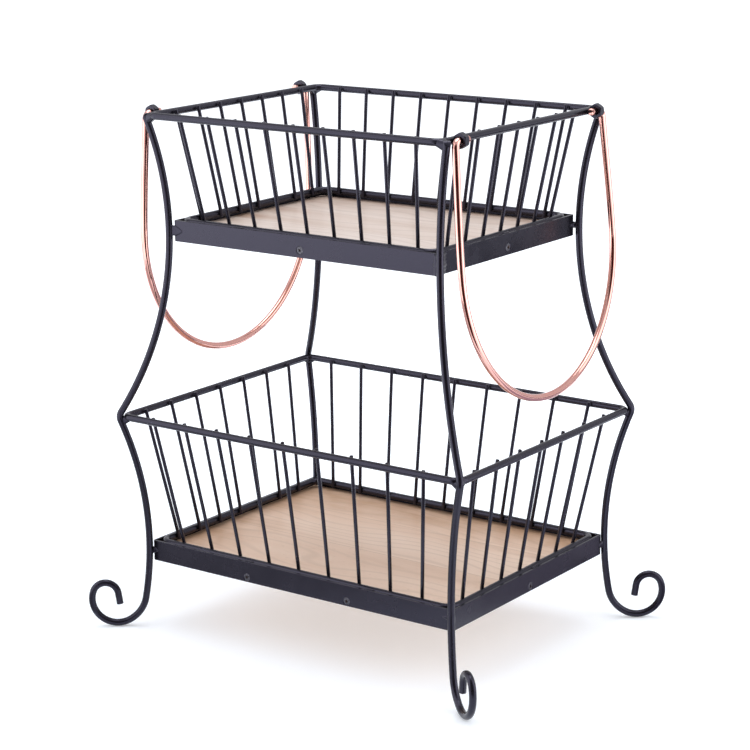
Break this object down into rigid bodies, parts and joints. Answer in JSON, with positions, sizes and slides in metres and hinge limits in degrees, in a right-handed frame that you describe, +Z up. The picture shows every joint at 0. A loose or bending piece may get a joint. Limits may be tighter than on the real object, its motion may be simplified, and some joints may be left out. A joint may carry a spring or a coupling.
{
  "type": "storage basket",
  "caption": "Two-tier storage basket of bent black rod and wire on scroll feet, with wooden boards in flat bands and a swinging copper-coloured handle at each end.",
  "frame": {"origin": "on the ground, under the middle of the basket, level with the lowest point of the four feet", "axes": "+X along the long side towards the right handle, +Y to the rear, +Z up"},
  "size_m": [0.3626, 0.2762, 0.4086],
  "materials": {
    "black_coat": "satin black powder coat",
    "screw_steel": "dark satin",
    "rose_gold": "polished rose gold plating",
    "upper_board": "pale, sanded, unvarnished",
    "lower_board": "light tan, sanded, unvarnished"
  },
  "bodies": {
    "frame": {"leg_front_right": "black_coat", "leg_rear_right": "black_coat", "leg_rear_left": "black_coat", "leg_front_left": "black_coat", "upper_rim": "black_coat", "lower_rim": "black_coat", "upper_band": "black_coat", "upper_board": "upper_board", "upper_screw_front": "screw_steel", "upper_screw_right": "screw_steel", "upper_screw_rear": "screw_steel", "upper_screw_left": "screw_steel", "upper_weld_front_right": "black_coat", "upper_weld_rear_right": "black_coat", "upper_weld_rear_left": "black_coat", "upper_weld_front_left": "black_coat", "upper_wires_front": "black_coat", "upper_wires_right": "black_coat", "upper_wires_rear": "black_coat", "upper_wires_left": "black_coat", "lower_band": "black_coat", "lower_board": "lower_board", "lower_screw_front_left": "screw_steel", "lower_screw_front_right": "screw_steel", "lower_screw_rear_right": "screw_steel", "lower_screw_rear_left": "screw_steel", "lower_screw_right": "screw_steel", "lower_screw_left": "screw_steel", "lower_weld_front_right": "black_coat", "lower_weld_rear_right": "black_coat", "lower_weld_rear_left": "black_coat", "lower_weld_front_left": "black_coat", "lower_wires_front": "black_coat", "lower_wires_right": "black_coat", "lower_wires_rear": "black_coat", "lower_wires_left": "black_coat", "nut_front_right": "black_coat", "nut_rear_right": "black_coat", "nut_rear_left": "black_coat", "nut_front_left": "black_coat"},
    "left_handle": {"left_handle": "rose_gold"},
    "right_handle": {"right_handle": "rose_gold"}
  },
  "joints": [
    {"name": "left_handle_swing", "type": "hinge", "parent": "frame", "child": "left_handle", "pos_m": [-0.13885, 0, 0.40285], "axis": [0, 1, 0], "range_deg": [-4, 198]},
    {"name": "right_handle_swing", "type": "hinge", "parent": "frame", "child": "right_handle", "pos_m": [0.13885, 0, 0.40285], "axis": [0, -1, 0], "range_deg": [-8, 194]}
  ]
}
